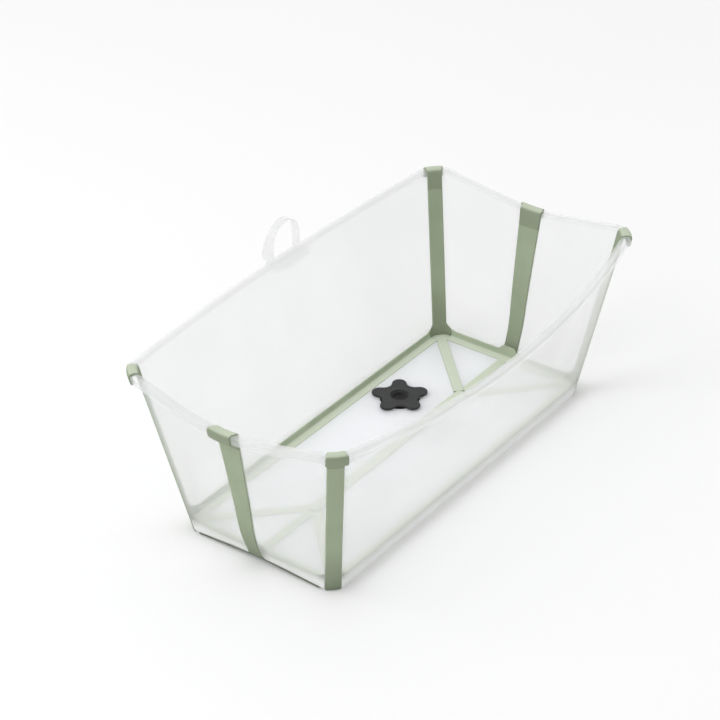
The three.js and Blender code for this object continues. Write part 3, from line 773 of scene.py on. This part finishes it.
def at(x, y, z):
    """A point of the tub in the row frame, in metres."""
    return tuple(np.array([x, y, z]) * 0.001 + ORIGIN)


side_strip_front = mirrored(side_strip, "floor_side_front", False, True)
for piece, side, sign in ((side_strip, "back", 1), (side_strip_front, "front", -1)):
    finished(piece, SAGE_SIDE, f"floor_side_strip_{side}")
    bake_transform(piece)
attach(finished(panel_back, FLOOR, "floor_panel_back"), "floor_back")
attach(finished(panel_front, FLOOR, "floor_panel_front"), "floor_front")
finished(ridge, SAGE_FLOOR, "floor_ridge_strip")
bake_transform(ridge)

# the middle of a corner at half the tub's height, where its strip's fold runs
fold_x, fold_y = (v(HEIGHT / 2) + radius_at(HEIGHT / 2) / math.sqrt(2) for v in (corner_x, corner_y))

for end, left in (("right", False), ("left", True)):
    for side, front in (("back", False), ("front", True)):
        tag = f"{end}_{side}"
        end_body, floor_body = f"end_{tag}", f"floor_corner_{tag}"

        def quarter(source, stem, material, node, left=left, front=front, tag=tag):
            piece = mirrored(source, f"{stem}_{tag}", left, front)
            return finished(piece, material, f"{node}_{tag}")

        panel, strip = ends[front]
        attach(quarter(panel, "end_wall", WALL, "end_panel"), end_body)
        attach(quarter(strip, "mid_fold", SAGE_MIDDLE, "end_mid_strip"), end_body)
        piece = quarter(corner, "corner_fold", SAGE, "corner_strip")
        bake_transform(piece)
        piece = quarter(triangle, "floor_triangle", FLOOR, "floor_corner_panel")
        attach(piece, floor_body)
        piece = quarter(centre, "centre_fold", SAGE_FLOOR, "floor_centre_strip")
        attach(piece, floor_body)
        piece = quarter(end_strip, "floor_end", SAGE_FLOOR, "floor_end_strip")
        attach(piece, floor_body)
        piece = quarter(diagonal, "diagonal_fold", SAGE_FLOOR, "floor_diagonal_strip")
        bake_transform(piece)
for source in (corner, triangle, centre, end_strip, diagonal, *ends[False], *ends[True]):
    bpy.data.objects.remove(source)


# ---- drain ----
def turned(name, profile, centre, segments=96):
    """A body of revolution from a closed profile of [radius, height]."""
    a = np.linspace(0, 2 * math.pi, segments, endpoint=False)
    profile = np.asarray(profile)
    points = [[[centre[0] + r * math.cos(t), centre[1] + r * math.sin(t), z] for r, z in profile] for t in a]
    i = np.arange(segments * len(profile)).reshape(segments, -1)
    j, k = np.roll(i, -1, axis=0), np.roll(i, -1, axis=1)
    l = np.roll(j, -1, axis=1)
    return mesh_object(name, np.reshape(points, (-1, 3)), np.stack([i, j, l, k], -1).reshape(-1, 4).tolist())


BORE = HOLE - 2.5
seat_top = seat_high[2]
SEAT_EDGE = 27.0
seat_profile = [[BORE, seat_low[2], 0.4], [HOLE, seat_low[2], 0.4], [HOLE, FLOOR_HIGH + 0.1, 0.1]]
seat_profile += [[SEAT_EDGE, FLOOR_HIGH + 0.1, 0.3], [SEAT_EDGE, seat_top, 0.5], [BORE, seat_top, 0.5]]
seat = turned("drain_ring", rounded(seat_profile, 5), DRAIN)
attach(finished(seat, CHARCOAL, "drain_seat"), "floor_back")

PLUG_EDGE = box_mm("drain_plug")[1][2] - 3.6
PETALS, PLUG_TURN = 5, 37.0
ARM_HALF, ARM_REACH, CORE, JOIN = 9.8, 29.0, 20.5, 13.0
DISH = 12.4


def petal_radius(angles):
    """Radius of the flower's outline: five round-ended arms, melted into a round core."""
    radii = []
    for angle in angles:
        low, high = 5.0, 60.0
        for _ in range(40):
            r = (low + high) / 2
            field = r - CORE
            for k in range(PETALS):
                bearing = angle - math.radians(PLUG_TURN) - k * 2 * math.pi / PETALS
                x, y = r * math.cos(bearing), r * math.sin(bearing)
                arm = math.hypot(x - min(max(x, 0.0), ARM_REACH), y) - ARM_HALF
                h = max(JOIN - abs(field - arm), 0.0) / JOIN
                field = min(field, arm) - h * h * JOIN / 4
            low, high = (r, high) if field < 0 else (low, r)
        radii.append((low + high) / 2)
    return np.array(radii)


def flower_plug():
    angles = np.linspace(0, 2 * math.pi, 240, endpoint=False)
    outer = petal_radius(angles)
    rings = []

    def ring(radius, height):
        x, y = DRAIN[0] + radius * np.cos(angles), DRAIN[1] + radius * np.sin(angles)
        rings.append(np.stack([x, y, np.full_like(angles, height)], -1))

    plain = np.ones_like(angles)
    neck = BORE - 0.6
    stem = [(0.4, FLOOR_LOW - 1), (BORE - 1.6, FLOOR_LOW - 1), (BORE - 0.7, FLOOR_LOW - 0.2)]
    for r, z in stem + [(neck, FLOOR_LOW + 1.5), (neck, PLUG_EDGE)]:
        ring(plain * r, z)
    for t in (0.35, 0.7, 1.0):
        ring(mix(plain * neck, outer - 1.0, t), PLUG_EDGE)
    rim = [(0.5, 0.12), (0.15, 0.45), (0.0, 1.0), (0.0, 2.0), (0.12, 2.7), (0.45, 3.15)]
    for inset, z in rim + [(0.95, 3.4), (1.8, 3.5)]:
        ring(outer - inset, PLUG_EDGE + z)
    lip = DISH + 1.6
    for t in (0.25, 0.5, 0.75, 0.92):
        ring(mix(outer - 1.8, plain * lip, t), PLUG_EDGE + 3.5 - 0.35 * math.sin(math.pi * t))
    dish = [(lip, 3.55), (DISH + 1.0, 3.6), (DISH + 0.4, 3.4), (DISH, 2.8), (DISH - 0.3, 1.6)]
    dish += [(DISH - 0.8, 1.1), (DISH - 2.0, 1.0), (9.9, 0.8), (9.5, 0.2), (9.3, -0.9)]
    for r, z in dish + [(8.8, -1.25), (7.0, -1.3), (4.0, -1.3), (2.0, -1.3), (0.4, -1.3)]:
        ring(plain * r, PLUG_EDGE + z)
    return loft("flower_plug", rings, angle=50)


plug = finished(flower_plug(), CHARCOAL, "drain_plug")
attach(plug, "drain_plug")

# ---- closing strap ----
loop_low, loop_high = box_mm("strap_loop")
ledge_low, ledge_high = box_mm("strap_ledge")
STRAP_HALF = 1.1  # half the strap's thickness
FLARE, FLARE_START, FLARE_REACH = 9.0, 6.0, 38.0


def strap_band():
    """A flat band arched over its two feet. One limb widens just above its foot, by up to
    FLARE, and narrows again over FLARE_REACH."""
    x0, radius = (loop_low[0] + loop_high[0]) / 2, (loop_high[0] - loop_low[0]) / 2 - STRAP_HALF
    foot, spring = loop_low[2] + 0.05, loop_high[2] - radius - STRAP_HALF
    up = np.linspace(foot, spring, 12)
    bend = np.linspace(math.pi, 0, 40)[1:-1]
    arch = [[x0 + radius * math.cos(a), spring + radius * math.sin(a)] for a in bend]
    line = np.array([[x0 - radius, z] for z in up] + arch + [[x0 + radius, z] for z in up[::-1]])
    along = np.concatenate([[0], np.cumsum(np.hypot(*np.diff(line, axis=0).T))])
    total = along[-1]
    u = np.unique(np.round(np.concatenate([along / total, samples(total, 3, 1.0)]), 6))
    x, z = (np.interp(u * total, along, line[:, k]) for k in (0, 1))
    width = loop_high[1] - loop_low[1]
    v = samples(width, 8, 1.0)
    taper = np.clip((z - foot) / FLARE_START, 0, 1) * np.clip(1.1 - (z - foot) / FLARE_REACH, 0, 1)
    flare = FLARE * taper * np.clip((x0 - x) / radius, 0, 1)
    middle = np.stack([np.stack([x, loop_low[1] + (width + flare) * t, z], -1) for t in v], 1)
    near = edge_share(v, width, 1.0)[None, :] ** 2 + edge_share(u, total, 1.0)[:, None] ** 2
    half = STRAP_HALF * np.sqrt(np.clip(1 - near, 0.02, 1))
    return sheet("strap_band", middle, half)


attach(finished(strap_band(), STRAP, "strap_loop"), "strap")
x_low, x_high = ledge_low[0], ledge_high[0]
ledge_outline = [[x_low, ledge_low[1], 1], [x_high, ledge_low[1], 1]]
ledge_outline += [[x_high, ledge_high[1], 4], [x_low, ledge_high[1], 4]]
ledge = slab("strap_shelf", [rounded(ledge_outline, 8)], ledge_low[2], ledge_high[2], 0.8)
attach(finished(ledge, STRAP, "strap_ledge"), "back_wall")


# ---- stage, light and camera ----
def ground():
    n = Nodes("studio_floor")
    tone = n.ramp(n.noise(0.8, 2.0), (0.955, 0.955, 0.96), (0.965, 0.965, 0.968))
    material = n.finish(n.add("ShaderNodeBsdfDiffuse", {"Color": tone, "Roughness": 0.3}).outputs[0])
    mesh = bpy.data.meshes.new("studio_floor")
    size = 12.0
    corners = [(-size, -size, 0), (size, -size, 0), (size, size, 0), (-size, size, 0)]
    mesh.from_pydata(corners, [], [(0, 1, 2, 3)])
    mesh.materials.append(material)
    obj = bpy.data.objects.new("studio_floor", mesh)
    bpy.context.scene.collection.objects.link(obj)


def area_light(name, place, target, size, power):
    light = bpy.data.lights.new(name, "AREA")
    light.shape, light.size, light.energy = "DISK", size, power
    obj = bpy.data.objects.new(name, light)
    bpy.context.scene.collection.objects.link(obj)
    obj.location = place
    obj.rotation_euler = (Vector(target) - Vector(place)).to_track_quat("-Z", "Y").to_euler()


def surroundings():
    """An even white surround, a little dimmer on the tub's front side."""
    world = bpy.data.worlds.new("studio")
    world.use_nodes = True
    nodes, links = world.node_tree.nodes, world.node_tree.links
    background = nodes["Background"]
    background.inputs["Color"].default_value = (1.0, 1.0, 1.0, 1)
    direction = nodes.new("ShaderNodeTexCoord").outputs["Generated"]
    facing = nodes.new("ShaderNodeVectorMath")
    facing.operation = "DOT_PRODUCT"
    facing.inputs[1].default_value = DIM_SIDE
    links.new(direction, facing.inputs[0])
    strength = nodes.new("ShaderNodeMath")
    strength.operation = "MULTIPLY_ADD"
    strength.inputs[1].default_value, strength.inputs[2].default_value = -SURROUND_FALL, SURROUND
    links.new(facing.outputs["Value"], strength.inputs[0])
    links.new(strength.outputs[0], background.inputs["Strength"])
    return world


DIM_SIDE = (-0.35, -0.94, 0.0)
SURROUND, SURROUND_FALL = 0.9, 0.36
scene = bpy.context.scene
ground()
scene.world = surroundings()
target = at(0, 0, 100)
area_light("key", (-1.6, 1.2, 2.0), target, size=1.8, power=17)
area_light("fill", (1.6, -1.6, 2.0), target, size=1.8, power=3)
scene.view_settings.view_transform = "Standard"
scene.view_settings.look = "None"

CAMERA_AZIMUTH, CAMERA_RISE, CAMERA_ROLL = -53.07, 32.54, -0.70
CAMERA_AIM, CAMERA_DISTANCE, CAMERA_LENS = (38.3, 76.2, 100.0), 3150.3, 121.26
a, e, roll = (math.radians(v) for v in (CAMERA_AZIMUTH, CAMERA_RISE, CAMERA_ROLL))
back = Vector((math.sin(a) * math.cos(e), -math.cos(a) * math.cos(e), math.sin(e)))
camera = bpy.data.objects.new("camera", bpy.data.cameras.new("camera"))
scene.collection.objects.link(camera)
camera.data.lens, camera.data.sensor_width = CAMERA_LENS, 36.0
camera.data.clip_start, camera.data.clip_end = 0.1, 60.0
camera.location = Vector(at(*CAMERA_AIM)) + back * CAMERA_DISTANCE * 0.001
camera.rotation_euler = (-back).to_track_quat("-Z", "Y").to_euler()
camera.rotation_euler.rotate_axis("Z", roll)
scene.camera = camera
